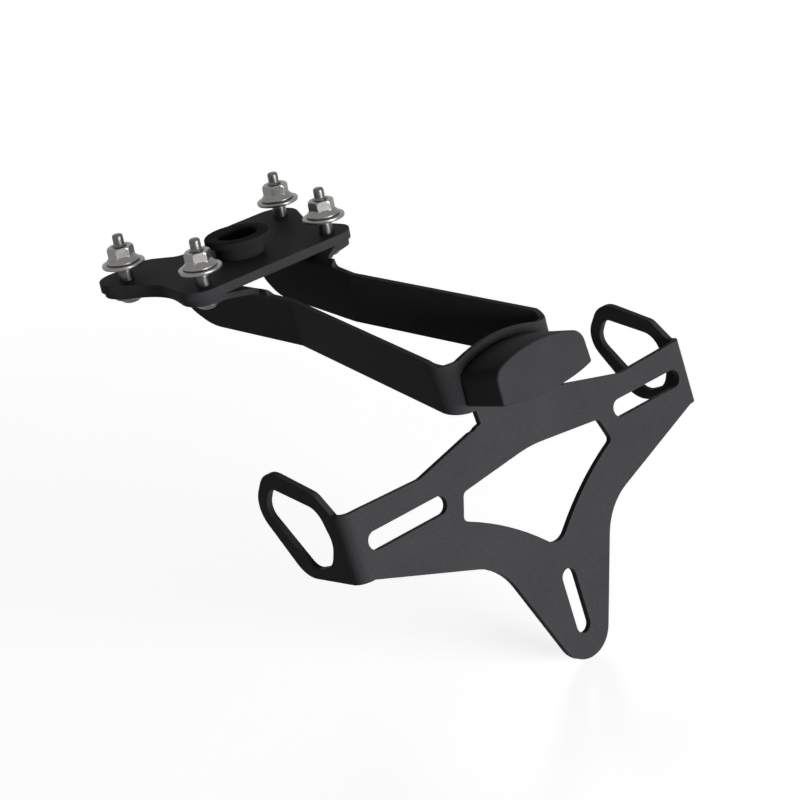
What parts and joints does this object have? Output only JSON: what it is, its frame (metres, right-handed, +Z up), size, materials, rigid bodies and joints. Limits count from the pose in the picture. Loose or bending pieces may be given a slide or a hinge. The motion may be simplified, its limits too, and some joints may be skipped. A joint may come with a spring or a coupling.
{
  "type": "license plate holder",
  "caption": "Motorbike tail tidy: folded sheet steel license plate holder with indicator ears, plate lamp and a bolted mounting plate with a cable grommet.",
  "frame": {"origin": "on the axis of the cable grommet, at the top face of the mounting plate", "axes": "+Z up along the grommet and the mounting bolts, +Y forward, +X to the right seen from behind the motorbike"},
  "size_m": [0.184, 0.219, 0.1657],
  "materials": {
    "powder_coat": "fine textured satin black powder coat",
    "rubber": "matte black rubber",
    "stainless": "plain stainless steel",
    "lamp_plastic": "matte black moulded plastic",
    "clear_lens": "clear moulded plastic lens",
    "circuit_board": "green solder mask"
  },
  "bodies": {
    "root": {"bracket": "powder_coat", "mounting_plate": "powder_coat", "cable_grommet": "rubber", "bolt_front_left": "stainless", "bolt_front_right": "stainless", "bolt_rear_left": "stainless", "bolt_rear_right": "stainless", "washer_front_left": "stainless", "washer_front_right": "stainless", "washer_rear_left": "stainless", "washer_rear_right": "stainless", "nut_front_left": "stainless", "nut_front_right": "stainless", "nut_rear_left": "stainless", "nut_rear_right": "stainless", "lamp_housing": "lamp_plastic", "lamp_lens": "clear_lens", "lamp_gasket": "rubber", "lamp_circuit_board": "circuit_board", "lamp_screw_left": "stainless", "lamp_screw_right": "stainless"}
  },
  "joints": []
}
